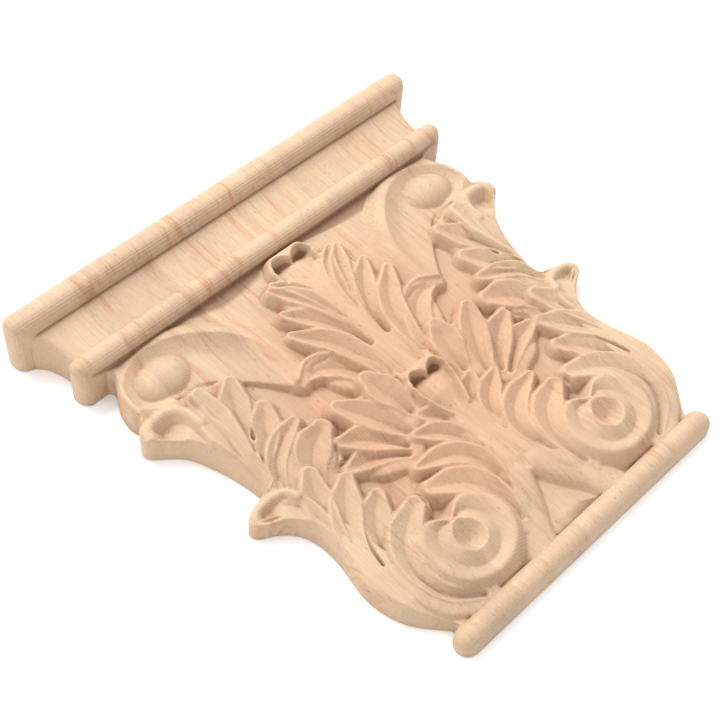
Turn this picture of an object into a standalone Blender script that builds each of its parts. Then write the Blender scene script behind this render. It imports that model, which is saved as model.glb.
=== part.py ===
# Carved wooden capital: a flat-backed applique with a moulded abacus, acanthus leaves,
# two pairs of volutes and a bead along the foot. One board, carved as one piece.
# Lies on its back: +X across, +Y towards the abacus, +Z out of the relief. Units: metres.

import bpy
import bmesh
import math
import numpy as np

for leftover in list(bpy.data.objects):
    bpy.data.objects.remove(leftover, do_unlink=True)

# Driving sizes
WIDTH = 0.202            # over the ends of the abacus
HEIGHT = 0.200           # foot to top edge
DEPTH = 0.024            # back to the crown of the top bead
TOP_BEAD = 0.0120        # height of each band of the abacus, along Y
COVE = 0.0165
LOWER_BEAD = 0.0100
FOOT_BEAD = 0.0095
FOOT_HALF_LENGTH = 0.0675
RETURN = 0.0110          # how far the cove's ends stand in from the top bead's
LOWER_RETURN = 0.0070    # the same for the lower bead
END_ROUND = 0.0030       # rounding of the abacus at its ends
FOOT_WALL = 0.0034       # upright part of the foot bead's side
GROUND_TOP = 0.0128      # flat ground behind the leaves, under the abacus
GROUND_FOOT = 0.0030     # the same ground at the foot
CUT_STEEP = 2.0          # fall of a carved wall for each unit sideways

# Fineness of the surface
ACROSS_STEP = 0.0010
ALONG_STEP = 0.0010
FACE_TARGET = 9300

HALF_X = WIDTH / 2
HALF_Y = HEIGHT / 2
PER_X = HALF_X / 100      # the carving is laid out in hundredths of the half width,
PER_Y = HALF_Y / 100      # of the half height
PER_Z = DEPTH / 100       # and of the depth

COVE_TOP = HALF_Y - TOP_BEAD
LOWER_BEAD_TOP = COVE_TOP - COVE
ABACUS_FOOT = LOWER_BEAD_TOP - LOWER_BEAD
FOOT_TOP = -HALF_Y + FOOT_BEAD

# Outline of the body below the abacus, one side, top to bottom
BODY_EDGE = [
    (83.0, 62.0), (81.4, 59.5), (82.8, 56.0), (85.6, 51.0), (86.9, 46.5), (87.0, 42.0), (85.6, 38.6),
    (87.6, 37.0), (90.4, 34.2), (91.2, 31.4), (89.6, 28.6), (85.4, 25.2), (81.0, 20.8), (78.0, 14.5),
    (75.6, 7.0), (74.1, 0.0), (73.3, -6.0), (73.2, -11.4), (76.4, -12.2), (81.6, -13.4), (85.2, -15.6),
    (85.9, -18.2), (84.0, -20.8), (79.4, -23.2), (75.2, -27.0), (72.4, -32.0), (71.3, -38.0),
    (71.6, -45.0), (73.2, -53.0), (74.6, -61.0), (74.0, -69.0), (71.4, -77.0), (67.2, -83.0),
    (62.8, -88.2), (61.9, -90.3),
]

# Height of that edge above the back, and of the leaves' crests, down the work
EDGE_RISE = [(62, 46), (52, 42), (42, 40), (36, 50), (31, 52), (27, 44), (20, 32), (8, 24), (-6, 18),
             (-11, 20), (-14, 28), (-19, 30), (-24, 25), (-34, 20), (-50, 24), (-62, 28), (-76, 24),
             (-84, 16), (-90, 12)]
CREST = [(64, 66), (50, 71), (38, 70), (25, 67), (10, 63), (-4, 62), (-15, 57), (-25, 51), (-40, 50),
         (-60, 52), (-75, 50), (-90, 38)]
OUTER_FALL = 0.35        # the crests drop away outside this share of the half width
OUTER_START = 66

# Leaflets, each from root to tip: points, half widths on the way, lift of the crest
LEAFLETS = {
    "crown": [
        ([(3.6, 26), (6.4, 36.5), (9.6, 43.6), (14.6, 48.6)], (1.2, 2.2, 2.7, 2.4, 1.1), 6),
        ([(4.2, 20), (6.8, 30.8), (11.2, 39), (17, 46.7)], (1.2, 2.6, 3.6, 3.4, 1.3), 7),
        ([(4.4, 7), (7, 17.8), (12.6, 27.4), (20.4, 35.9)], (1.2, 2.8, 4, 3.7, 1.4), 3),
        ([(9, -7), (10.6, 4.5), (14.8, 15.6), (24.7, 26.8)], (2, 3.8, 4.6, 4, 1.6), 4),
        ([(10.6, -13), (14.2, -1.5), (20, 7), (26.6, 11), (34.2, 11.2)], (1.8, 4.2, 5.2, 4.6, 1.3), -2),
    ],
    "fan": [
        ([(14, -23), (15, -16.5), (16.8, -10.6), (18.1, -5)], (2.2, 4.2, 5.6, 5.4, 3.1), 6),
        ([(20, -30), (25, -19.8), (29.6, -12.3), (33.9, -6.2)], (1.6, 3.9, 5.1, 4.8, 2.5), 3),
        ([(25, -32), (29.5, -26), (35.5, -20.8), (42.5, -17.1)], (1.6, 3.8, 4.8, 4.4, 2.1), 2),
        ([(27, -34.5), (32, -30.8), (39, -27.5), (47.3, -26.3)], (1.6, 3, 3.9, 3.9, 1.9), 0),
    ],
    "collar": [
        ([(4.6, -36), (7.6, -31.4), (12.8, -27.4)], (1.8, 3.4, 3.8, 2.0), 0),
        ([(6.5, -50), (8.2, -42.6), (13, -36.4), (20.7, -31.7)], (1.4, 2.8, 4, 3.7, 1.3), 0),
        ([(12.6, -69), (9.8, -59), (12, -50.4), (18.6, -44.5), (29.4, -41.4)],
         (1, 2.6, 3.8, 4.4, 3.7, 1.3), -1),
        ([(17, -79), (16.4, -69), (19, -60), (24, -54.6), (32.2, -50.6)], (1.2, 3, 4.4, 5.2, 5, 2.8), 0),
    ],
    "upper side": [
        ([(73.3, -8), (73.5, 8), (77.2, 20.5), (84.1, 29.9)], (2, 4.2, 6.2, 8.2, 6.2), -1),
        ([(72, -12), (71.2, 3), (69.4, 15), (67, 29.6)], (1.2, 2.8, 4.4, 5.2, 2.7), 4),
        ([(69.8, -2), (65.6, 9.7), (60.4, 18.4), (54.6, 27.1)], (1.2, 3, 4.8, 5.2, 2.4), -1),
        ([(66.5, -5), (60.8, 1.8), (56.6, 7), (52.8, 11.8)], (1.4, 3.2, 4.6, 4.6, 2.7), -2),
        ([(70, -17), (65.5, -8.4), (59, -3), (49.2, 0.5)], (1.4, 2.8, 3.6, 3.6, 1.9), -1),
        ([(58, -22), (55.4, -15.8), (50.4, -11.2), (43.9, -8.2)], (2.2, 4.6, 6, 5.6, 3.2), 0),
    ],
    "lower side": [
        ([(71, -47), (70.6, -34), (72.8, -25), (80.5, -18.8)], (1.8, 3.4, 5.2, 6, 4.1), 0),
        ([(68.8, -49), (67.2, -36), (64, -26.6), (59.6, -18.7)], (1.2, 2.8, 4.6, 5, 2.7), 0),
        ([(68.4, -57), (64.9, -43.6), (58.6, -35), (51.6, -28)], (1.2, 3.4, 5, 5.2, 2.4), 0),
        ([(63, -60), (58.8, -51), (53.6, -44.3), (47.9, -39.5)], (1.4, 3.4, 4.8, 4.8, 2.4), -2),
        ([(47, -88.8), (56.4, -81.6), (59.8, -71.5), (56.6, -61.6), (50.2, -55.4), (41.7, -51.2)],
         (1.4, 2.6, 3.2, 4.6, 5.4, 3.1), 0),
    ],
}
SCOOP = 11               # depth of a leaflet's hollow below its crest, share of DEPTH
SHALLOW_TIP = 0.5        # the hollow loses this share of its depth at the tip
VEIN = 2.6               # depth of the line down a leaflet's middle, share of DEPTH
VEIN_WIDTH = 0.0006
ROOT_DROP = 9            # how far a leaflet's root sinks below its crest
WEB = 4                  # the blade between leaflets lies this far below their crests,
WEB_DROP = 16            # and falls away towards the tips
WEB_REACH = 4.2
RIM_ROUND = 0.0004       # softness of carved edges
FULLNESS = 1.1           # leaflets are this much wider than laid out, so that neighbours touch

# Upper volute: crest from its tail round the boss, and the boss
HORN = [(35, 11), (33.6, 21), (35, 32), (39.6, 42), (47.6, 51), (56.6, 57.2), (66, 59.8), (74, 58.8),
        (80.4, 54.6), (83.6, 48), (83.4, 42), (79.5, 37.8), (73, 36.2)]
HORN_CREST = (60, 67, 69, 64, 56, 51, 52)      # heights along it
CHANNEL = (54, 38)                             # level of the channel inside it, at 36 and 80 across
GROUND_INSIDE = 42                             # the ground below the channel's end is no higher
HORN_RIM = 8                                   # width of the slope into the channel
HORN_BACK = 0.5                                # fall of its outer side, beyond a nearly flat rim
RIM_FLAT = 2.6
HORN_END = [(36.5, 8.6), (40.5, 15.1), (46, 22.4), (51, 28), (57, 34), (64, 37), (76, 36)]
BOSS_AT = (68.6, 47.4)
BOSS_RADII = (12.0, 9.4)
BOSS_FOOT = 35
BOSS_RISE = 29

# Lower volute, about its own centre
VOLUTE_AT = (36.8, -71.9)
EYE = 6.0
EYE_GROOVE = 10.8
RIM = 14.9
RIM_SPREAD = 2.1         # the rim is wider than it is tall
CUSP = 7.8               # where rim, groove and eye meet, at the top
CUSP_WIDTH = 0.40
EYE_HOLLOW = 20          # depths below the rim's crest, shares of DEPTH
GROOVE_DEPTH = 11

# Stems: points, half widths on the way, heights at root and end, depth of their flutes
STEMS = [
    ([(0, -17), (0, 8), (0, 30), (0, 49)], (4.6, 3.8, 2.8, 2.4), (55, 68), 0),
    ([(0, -61), (0, -52), (0, -40), (0, -24)], (7.6, 8.2, 6.6, 5.0), (42, 50), 3),
    ([(5.6, -65), (10.6, -75), (15.4, -82.6), (20.0, -93)], (5.8, 5.6, 5.8, 6.2), (41, 26), 0),
]
STEM_FALL = 1.5
SIDE_PAD = [(64, -88), (67, -74), (67.5, -60), (69, -46), (70, -34), (73, -20), (73, -4), (76, 10), (80, 20)]
SIDE_PAD_HEIGHTS = (22, 40, 42, 40, 38, 38, 37, 37, 37)
SIDE_PAD_HALF_WIDTH = 6.5

# Raised lips: points, half width, heights at both ends
LIPS = [
    ([(19.5, 13.2), (24.5, 16.0), (30.0, 15.9), (36.2, 12.0)], 1.5, (62, 66)),
    ([(72.4, 22.0), (73.2, 29.0), (76.6, 33.8), (82.0, 34.8), (87.2, 33.4), (88.6, 29.6)], 2.5, (60, 52)),
    ([(88.0, 28.6), (82.8, 23.6), (78.2, 17.8), (74.8, 8.0), (72.6, -4.0)], 0.9, (47, 38)),
    ([(67.8, -21.6), (69.8, -17.2), (75.0, -15.2), (80.6, -15.4), (83.2, -17.4)], 2.1, (53, 37)),
    ([(82.6, -19.0), (77.6, -21.4), (73.8, -25.6), (70.8, -33.0), (69.4, -43.0)], 0.8, (37, 39)),
]

# Hollows under those lips: place, radius and floor
DISHES = [
    ((83.4, 29.2), 4.4, 33),
    ((78.8, -18.2), 3.2, 29),
]
DISH_SLOPE = 0.5

# Rolled-over leaf tips: a cap with a round curl at each end, hollow underneath, and an arm
# that runs down each edge of the leaf
ROLLS = [
    dict(ear=(6.0, 52.4), ear_radius=4.5, bar=56.6, bar_half=3.0, height=76, hole_radius=2.7, floor=44,
         middle=60, arm=[(9.6, 52.2), (9.4, 47.6), (7.0, 42.0), (4.0, 36.0)],
         arm_heights=(72, 69, 66, 60), leaf=(66, 66, 62)),
    dict(ear=(5.2, -18.6), ear_radius=4.3, bar=-14.2, bar_half=3.4, height=65, hole_radius=2.4, floor=36,
         middle=50, arm=[(8.4, -18.8), (8.0, -23.4), (6.4, -28.6), (4.4, -34.0)],
         arm_heights=(61, 57, 53, 48), leaf=(56, 55, 46)),
]
ARM_HALF_WIDTHS = (1.1, 1.3, 1.3)
ARCH_RISE = 3.6          # rise of the hollow's arch at each curl
HOLLOW_RISE = 0.85       # its floor's slope towards the leaf

# Deep cuts between leaves: points, half width, floor height
CUTS = [
    ([(60.8, -46.6), (63.6, -52.4), (65.4, -59.4)], 0.35, 33),
    ([(62.0, 8.2), (63.8, 5.0)], 0.3, 44),
    ([(37.6, -49.0), (37.8, -54.6)], 0.4, 34),
    ([(36.6, 9.6), (31.8, 11.4), (26.6, 13.4), (21.4, 12.2)], 0.3, 52),
    ([(45.0, -16.0), (47.0, -19.8), (51.0, -22.4)], 0.3, 38),
    ([(27.6, -35.5), (28.6, -38.0)], 0.7, 38),
]


def smooth_curve(points, per_span=10):
    """Points in metres on a smooth curve through the given hundredths, with its length share."""
    ends = np.array([(x * PER_X, y * PER_Y) for x, y in points])
    guides = np.vstack([2 * ends[0] - ends[1], ends, 2 * ends[-1] - ends[-2]])
    out = []
    for k in range(1, len(guides) - 2):
        a, b, c, d = guides[k - 1:k + 3]
        for s in np.arange(per_span) / per_span:
            out.append(0.5 * (2 * b + (c - a) * s + (2 * a - 5 * b + 4 * c - d) * s ** 2
                              + (3 * b - a - 3 * c + d) * s ** 3))
    out.append(ends[-1])
    out = np.array(out)
    steps = np.hypot(*np.diff(out, axis=0).T)
    share = np.concatenate([[0], np.cumsum(steps)]) / steps.sum()
    return out, share


def beside(x, y, curve, share):
    """For each place: distance from the curve, +1 or -1 for its side, and share of the length."""
    best = np.full(x.shape, np.inf)
    side = np.ones(x.shape)
    along = np.zeros(x.shape)
    for k in range(len(curve) - 1):
        (ax, ay), (bx, by) = curve[k], curve[k + 1]
        dx, dy = bx - ax, by - ay
        s = np.clip(((x - ax) * dx + (y - ay) * dy) / (dx * dx + dy * dy), 0, 1)
        gap = np.hypot(x - ax - s * dx, y - ay - s * dy)
        nearer = gap < best
        best = np.where(nearer, gap, best)
        side = np.where(nearer, np.sign(dx * (y - ay) - dy * (x - ax)), side)
        along = np.where(nearer, share[k] + s * (share[k + 1] - share[k]), along)
    return best, side, along


def table(rows, y):
    """Read a (place, height) list down the work; result in metres."""
    places = [row[0] * PER_Y for row in reversed(rows)]
    heights = [row[1] * PER_Z for row in reversed(rows)]
    return np.interp(y, places, heights)


def spread(values, share):
    """Spread a few values evenly over a length and read them at each share of it."""
    return np.interp(share, np.linspace(0, 1, len(values)), values)


def edge_of(y):
    """Half width of the whole work at each height along Y, in metres."""
    y = np.asarray(y, dtype=float)
    curve, share = smooth_curve(BODY_EDGE, 6)
    body = np.interp(-y, np.maximum.accumulate(-curve[:, 1]), curve[:, 0])

    top = np.clip((y - COVE_TOP) / TOP_BEAD, 0, 1)
    bead = HALF_X - 0.45 * TOP_BEAD * (1 - np.sqrt(1 - np.abs(2 * top - 1.1).clip(0, 1) ** 2.6))
    cove_share = np.clip((y - LOWER_BEAD_TOP) / COVE, 0, 1)
    cove = HALF_X - RETURN + (RETURN - 0.003) * (1 - np.sqrt(1 - (0.96 * cove_share) ** 2))
    low = np.clip((y - ABACUS_FOOT) / LOWER_BEAD, 0, 1)
    lower = HALF_X - LOWER_RETURN - 0.42 * LOWER_BEAD * (1 - np.sqrt(1 - (0.96 * (2 * low - 1)) ** 2))

    foot = (y + HALF_Y - FOOT_BEAD / 2) / (FOOT_BEAD / 2)
    foot_end = FOOT_HALF_LENGTH - FOOT_BEAD / 2 * (1 - np.sqrt(1 - np.clip(foot, -1, 1) ** 2))

    width = np.where(y >= COVE_TOP, bead, body)
    width = np.where((y < COVE_TOP) & (y >= LOWER_BEAD_TOP), cove, width)
    width = np.where((y < LOWER_BEAD_TOP) & (y >= ABACUS_FOOT), lower, width)
    return np.where(y < FOOT_TOP, foot_end, width)


def abacus_height(y):
    """Section of the moulding: top bead, cove and lower bead."""
    top = np.clip((y - COVE_TOP) / TOP_BEAD, 0, 1) - 0.5
    bead = DEPTH - np.where(top < 0, 0.21, 0.14) * DEPTH * np.abs(2 * top) ** 2.6
    cove_share = np.clip((y - LOWER_BEAD_TOP) / COVE, 0, 1)
    cove = 0.63 * DEPTH + 0.16 * DEPTH * (1 - np.sqrt(1 - (0.93 * cove_share) ** 2))
    low = np.clip((y - ABACUS_FOOT) / LOWER_BEAD, 0, 1)
    lower = 0.60 * DEPTH + 0.22 * DEPTH * np.sqrt(1 - np.clip(np.abs(2 * low - 0.98), 0, 1) ** 2)
    height = np.where(y >= COVE_TOP, bead, cove)
    return np.where(y < LOWER_BEAD_TOP, lower, height)


def foot_height(x, y):
    """The foot bead: half round on a short upright wall, with ball ends."""
    radius = FOOT_BEAD / 2
    out = np.maximum(np.abs(x) - (FOOT_HALF_LENGTH - radius), 0) / radius
    off = (y + HALF_Y - radius) / radius
    return FOOT_WALL + radius * np.sqrt(np.clip(1 - out ** 2 - off ** 2, 0, 1))


def crest_at(x, y):
    """Swell of the carving: the level that the leaves' crests reach."""
    return table(CREST, y) - OUTER_FALL * np.maximum(np.abs(x) - OUTER_START * PER_X, 0)


def soft(gap):
    """Zero inside an edge and the distance outside it, eased over the edge's softness."""
    return RIM_ROUND * np.logaddexp(0, gap / RIM_ROUND)


def leaflet(x, y, points, half_widths, lift):
    """A scooped blade with raised edges, the web that joins it to its neighbours, and its extent."""
    curve, share = smooth_curve(points)
    gap, side, along = beside(x, y, curve, share)
    half = spread(half_widths, along) * PER_X * FULLNESS
    crest = crest_at(x, y) + lift * PER_Z - ROOT_DROP * PER_Z * (1 - along) ** 2
    scoop = SCOOP * PER_Z * (1 - SHALLOW_TIP * along ** 6)
    across = np.minimum(gap / (0.95 * half), 1)
    vein = VEIN * PER_Z * (1 - along ** 4) * np.exp(-gap / VEIN_WIDTH)
    blade = crest - scoop * (1 - across ** 1.4) - vein
    blade = blade - CUT_STEEP * soft(gap - half)
    reach = half + WEB_REACH * PER_X * (1 - along ** 3)
    web = crest - (WEB + WEB_DROP * along ** 4) * PER_Z - CUT_STEEP * soft(gap - reach)
    return blade, web, gap < half


def horn(x, y, height):
    """The long scroll: a crest that curls round the boss, and the channel sunk inside it."""
    curve, share = smooth_curve(HORN)
    gap, side, along = beside(x, y, curve, share)
    end_gap, end_side, end_along = beside(x, y, *smooth_curve(HORN_END))
    crest = spread(HORN_CREST, along) * PER_Z
    slope = np.clip(gap / (HORN_RIM * PER_X), 0, 1)
    level = np.interp(x, (36 * PER_X, 80 * PER_X), CHANNEL) * PER_Z
    channel = level + (crest - level) * (1 - slope) ** 1.8
    beyond = channel - CUT_STEEP * end_gap
    fall = np.where(along <= 0, CUT_STEEP, HORN_BACK)
    outside = crest - 0.12 * gap - fall * soft(gap - RIM_FLAT * PER_X)
    inner = side < 0
    low = np.maximum(np.minimum(height, GROUND_INSIDE * PER_Z), beyond)
    height = np.where(inner, low, np.maximum(height, outside))
    return np.where(inner & (end_side > 0), channel, height)


def boss(x, y):
    off = np.hypot((x - BOSS_AT[0] * PER_X) / (BOSS_RADII[0] * PER_X),
                   (y - BOSS_AT[1] * PER_Y) / (BOSS_RADII[1] * PER_Y))
    dome = (BOSS_FOOT + BOSS_RISE * np.clip(1 - off ** 2, 0, 1) ** 0.6) * PER_Z
    return np.where(off < 1, dome, -1)


def volute(x, y):
    """Heart-shaped lower scroll: a rim, a groove, and a hollow eye that meets both at the cusp."""
    dx = (x - VOLUTE_AT[0] * PER_X) / PER_X
    dy = (y - VOLUTE_AT[1] * PER_Y) / PER_Y
    radius = np.hypot(dx, dy)
    turn = np.arctan2(dx, dy)
    pinch = np.exp(-(turn / CUSP_WIDTH) ** 2)
    rim = (RIM + RIM_SPREAD * np.sin(turn) ** 2) * (1 - pinch) + CUSP * pinch
    groove = EYE_GROOVE * (1 - pinch) + CUSP * pinch
    eye = EYE * (1 - pinch) + CUSP * pinch
    crest = table(CREST, y)
    bowl = crest - EYE_HOLLOW * PER_Z * (1 - np.clip(radius / eye, 0, 1) ** 1.3)
    fall = crest - GROOVE_DEPTH * PER_Z * np.clip((radius - eye) / (groove - eye + 0.3), 0, 1)
    climbed = np.clip((radius - groove) / (rim - groove + 0.3), 0, 1) ** 0.7
    climb = crest - GROOVE_DEPTH * PER_Z * (1 - climbed)
    height = np.where(radius < eye, bowl, np.where(radius < groove, fall, climb))
    return height - CUT_STEEP * 0.55 * soft((radius - rim) * PER_X)


def stem(x, y, points, half_widths, heights, flute=0):
    """A rounded bar along a curve, with a ridge down its middle where it is fluted."""
    curve, share = smooth_curve(points)
    gap, side, along = beside(x, y, curve, share)
    half = spread(half_widths, along) * PER_X
    off = np.minimum(gap / half, 1)
    level = spread(heights, along) * PER_Z
    fluted = flute * PER_Z * (1 - np.cos(2 * math.pi * off)) / 2
    return level - 0.07 * DEPTH * off ** 2 - fluted - STEM_FALL * soft(gap - half)


def dish(x, y, place, radius, floor):
    gap = np.hypot(x - place[0] * PER_X, y - place[1] * PER_Y)
    return floor * PER_Z + DISH_SLOPE * np.maximum(gap - 0.5 * radius * PER_X, 0)


def side_pad(x, y):
    curve, share = smooth_curve(SIDE_PAD)
    gap, side, along = beside(x, y, curve, share)
    level = spread(SIDE_PAD_HEIGHTS, along) * PER_Z
    return level - CUT_STEEP * np.maximum(gap - SIDE_PAD_HALF_WIDTH * PER_X, 0)


def roll(x, y, spec):
    """A leaf tip rolled forward: a cap that is widest at its two curls, and ends at their line."""
    ear_x, ear_y = spec["ear"][0] * PER_X, spec["ear"][1] * PER_Y
    ear = np.hypot(x - ear_x, y - ear_y - 0.2 * spec["ear_radius"] * PER_Y) / (spec["ear_radius"] * PER_X)
    bar = np.hypot(np.maximum(x - ear_x, 0), y - spec["bar"] * PER_Y) / (spec["bar_half"] * PER_Y)
    top = spec["height"] * PER_Z
    ear_wall = CUT_STEEP * np.maximum(ear - 1, 0) * spec["ear_radius"] * PER_X
    bar_wall = CUT_STEEP * np.maximum(bar - 1, 0) * spec["bar_half"] * PER_Y
    ears = top - 6 * PER_Z * np.clip(ear, 0, 1) ** 3 - ear_wall
    bars = top - 8 * PER_Z * np.clip(bar, 0, 1) ** 3 - bar_wall
    return np.maximum(ears, bars) - 4 * CUT_STEEP * np.maximum(ear_y - 0.8 * PER_Y - y, 0)


def roll_hollow(x, y, spec):
    """The hollow under a roll: an arch over each curl, a point between them, open to the leaf."""
    ear_x = spec["ear"][0] * PER_X
    wide = np.where(x < ear_x, 1.02 * ear_x, spec["hole_radius"] * PER_X)
    arch = np.clip(1 - ((x - ear_x) / wide) ** 2, 0, 1) ** 0.65
    brow = (spec["ear"][1] + ARCH_RISE * arch) * PER_Y
    below = brow - y
    middle = np.clip(1 - x / ear_x, 0, 1) ** 1.5
    floor = (spec["floor"] + (spec["middle"] - spec["floor"]) * middle) * PER_Z
    out = np.maximum(x - ear_x - spec["hole_radius"] * PER_X, 0)
    return floor + HOLLOW_RISE * np.maximum(below, 0) + 2.4 * CUT_STEEP * (np.maximum(-below, 0) + out)


def cut(x, y, points, half, level):
    gap, side, along = beside(x, y, *smooth_curve(points, 4))
    half = half * PER_X * np.sin(np.clip(along, 0.02, 0.98) * math.pi) ** 0.7
    return (level + 8 * (1 - along)) * PER_Z + 1.7 * CUT_STEEP * np.maximum(gap - half, 0)


def near(x, y, points, reach):
    """Places within reach of the points' box, so that each shape is worked out only where it lies."""
    across = [px * PER_X for px, py in points]
    along = [py * PER_Y for px, py in points]
    reach = reach * PER_X
    return ((x > min(across) - reach) & (x < max(across) + reach)
            & (y > min(along) - reach) & (y < max(along) + reach))


def raise_to(height, x, y, points, reach, shape, *spec):
    here = near(x, y, points, reach)
    height[here] = np.maximum(height[here], shape(x[here], y[here], *spec))


def relief(x, y):
    """Height of the front surface above the back, for arrays of places in metres."""
    x = np.abs(x)
    height = np.interp(y, [-HALF_Y, 0.45 * HALF_Y], [GROUND_FOOT, GROUND_TOP])

    here = near(x, y, HORN, 12)
    height[here] = horn(x[here], y[here], height[here])
    raise_to(height, x, y, [BOSS_AT], 16, boss)
    raise_to(height, x, y, [VOLUTE_AT], 26, volute)
    raise_to(height, x, y, SIDE_PAD, 14, side_pad)
    for spec in STEMS:
        raise_to(height, x, y, spec[0], 16, stem, *spec)
    blades, webs, within = np.zeros(x.shape), np.zeros(x.shape), np.zeros(x.shape, dtype=bool)
    for group in LEAFLETS.values():
        for spec in group:
            here = near(x, y, spec[0], 16)
            blade, web, inside = leaflet(x[here], y[here], *spec)
            blades[here] = np.maximum(blades[here], blade)
            webs[here] = np.maximum(webs[here], web)
            within[here] |= inside
    height = np.maximum(height, np.where(within, blades, np.maximum(blades, webs)))
    for place, radius, floor in DISHES:
        here = near(x, y, [place], 3.2 * radius)
        height[here] = np.minimum(height[here], dish(x[here], y[here], place, radius, floor))
    for points, half, heights in LIPS:
        raise_to(height, x, y, points, 10, stem, points, (half, half), heights)
    for spec in ROLLS:
        ear_x, ear_y = spec["ear"]
        leaf = [(0, ear_y), (0, ear_y - 6), (0, ear_y - 14)]
        raise_to(height, x, y, leaf, 12, stem, leaf, (ear_x + 2.5, ear_x + 1.5, 4), spec["leaf"])
        raise_to(height, x, y, [(0, spec["bar"])], 18, roll, spec)
        here = near(x, y, [(0, spec["ear"][1])], 14)
        height[here] = np.minimum(height[here], roll_hollow(x[here], y[here], spec))
        raise_to(height, x, y, spec["arm"], 8, stem, spec["arm"], ARM_HALF_WIDTHS, spec["arm_heights"])
    for spec in CUTS:
        here = near(x, y, spec[0], 5)
        height[here] = np.minimum(height[here], cut(x[here], y[here], *spec))

    inside = np.maximum(edge_of(y) - x, 0)
    edge_level = table(EDGE_RISE, y) + 0.30 * DEPTH * (1 - np.exp(-inside / 0.0036)) + 0.4 * inside
    height = np.minimum(height, edge_level)

    end = np.clip(1 - inside / END_ROUND, 0, 1)
    abacus = abacus_height(y) - END_ROUND * (1 - np.sqrt(1 - end ** 2))
    height = np.where(y >= ABACUS_FOOT, abacus, height)
    foot = foot_height(x, y)
    joined = np.where(y > FOOT_TOP - 0.4 * FOOT_BEAD, np.maximum(foot, height), foot)
    return np.where(y < FOOT_TOP, joined, height)


def rows_along():
    """Places of the rows along Y: even, with a row on each arris of the mouldings."""
    arrises = [HALF_Y, COVE_TOP, LOWER_BEAD_TOP, ABACUS_FOOT, FOOT_TOP, -HALF_Y]
    rows = []
    for upper, lower in zip(arrises, arrises[1:]):
        count = max(2, round((upper - lower) / ALONG_STEP))
        share = np.linspace(0, 1, count + 1)
        rows += list(upper - share * (upper - lower) - np.where(share == 0, 1e-6, 0))
    return np.array(rows)


def make_wood():
    wood = bpy.data.materials.new("pale_wood")
    wood.use_nodes = True
    shader = wood.node_tree.nodes["Principled BSDF"]
    shader.inputs["Base Color"].default_value = (0.74, 0.55, 0.38, 1)
    shader.inputs["Roughness"].default_value = 0.62
    shader.inputs["Metallic"].default_value = 0.0
    return wood


def make_capital():
    rows = rows_along()
    across = 2 * round(HALF_X / ACROSS_STEP)
    form = bmesh.new()
    bmesh.ops.create_grid(form, x_segments=across, y_segments=len(rows) - 1, size=1)
    form.verts.ensure_lookup_table()

    u = np.array([v.co.x for v in form.verts])
    step = np.rint((1 - np.array([v.co.y for v in form.verts])) / 2 * (len(rows) - 1)).astype(int)
    y = rows[step]
    reach = edge_of(y)
    core = 0.58 * HALF_X
    share = np.abs(u)
    x = np.where(share < 0.6, share / 0.6 * core, core + (share - 0.6) / 0.4 * (reach - core)) * np.sign(u)
    z = relief(x, y)
    for vert, place in zip(form.verts, zip(x, y, z)):
        vert.co = place

    rim = [edge for edge in form.edges if edge.is_boundary]
    skirt = bmesh.ops.extrude_edge_only(form, edges=rim)["geom"]
    for vert in skirt:
        if isinstance(vert, bmesh.types.BMVert):
            vert.co.z = 0
    bmesh.ops.holes_fill(form, edges=[edge for edge in form.edges if edge.is_boundary], sides=0)
    bmesh.ops.triangulate(form, faces=list(form.faces))
    bmesh.ops.recalc_face_normals(form, faces=list(form.faces))

    mesh = bpy.data.meshes.new("carved_capital")
    form.to_mesh(mesh)
    form.free()
    mesh.materials.append(make_wood())
    capital = bpy.data.objects.new("carved_capital", mesh)
    bpy.context.scene.collection.objects.link(capital)

    thin = capital.modifiers.new("fewer_faces", "DECIMATE")
    thin.decimate_type = "COLLAPSE"
    thin.use_symmetry = True
    thin.symmetry_axis = "X"
    thin.ratio = FACE_TARGET / len(mesh.polygons)
    thin.use_collapse_triangulate = True
    return capital


make_capital()
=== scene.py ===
# Carved capital: the finish, the light and the photograph's view
import bpy
import bmesh
import math
import numpy as np
from mathutils import Matrix, Vector


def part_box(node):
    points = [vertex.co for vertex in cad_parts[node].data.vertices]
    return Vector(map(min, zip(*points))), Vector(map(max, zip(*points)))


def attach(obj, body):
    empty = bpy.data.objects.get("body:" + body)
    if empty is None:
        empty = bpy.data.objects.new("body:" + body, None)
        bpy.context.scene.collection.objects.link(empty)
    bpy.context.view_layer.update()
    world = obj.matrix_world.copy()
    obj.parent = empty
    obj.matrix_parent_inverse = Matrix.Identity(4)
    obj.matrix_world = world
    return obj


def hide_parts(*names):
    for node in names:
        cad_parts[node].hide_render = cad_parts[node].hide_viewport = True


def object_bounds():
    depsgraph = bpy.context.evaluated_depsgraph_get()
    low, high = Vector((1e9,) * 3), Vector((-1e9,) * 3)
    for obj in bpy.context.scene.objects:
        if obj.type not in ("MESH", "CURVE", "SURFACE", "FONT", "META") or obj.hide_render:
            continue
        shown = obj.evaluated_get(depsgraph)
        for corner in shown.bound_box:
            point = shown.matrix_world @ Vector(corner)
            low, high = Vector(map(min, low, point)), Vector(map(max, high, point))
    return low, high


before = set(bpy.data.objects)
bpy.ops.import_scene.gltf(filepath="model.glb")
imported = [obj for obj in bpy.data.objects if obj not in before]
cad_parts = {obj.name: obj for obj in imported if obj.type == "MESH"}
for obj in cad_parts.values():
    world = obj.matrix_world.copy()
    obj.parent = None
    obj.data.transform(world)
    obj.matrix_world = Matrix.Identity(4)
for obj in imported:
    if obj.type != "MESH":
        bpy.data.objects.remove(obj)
cadLow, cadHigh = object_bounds()
print("frame loaded")


# Sizes from the frame

low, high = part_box("carved_capital")
halfX, halfY, depth = high[0], high[1], high[2]
perX, perY, perZ = halfX / 100, halfY / 100, depth / 100      # the carving is laid out in hundredths

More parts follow.
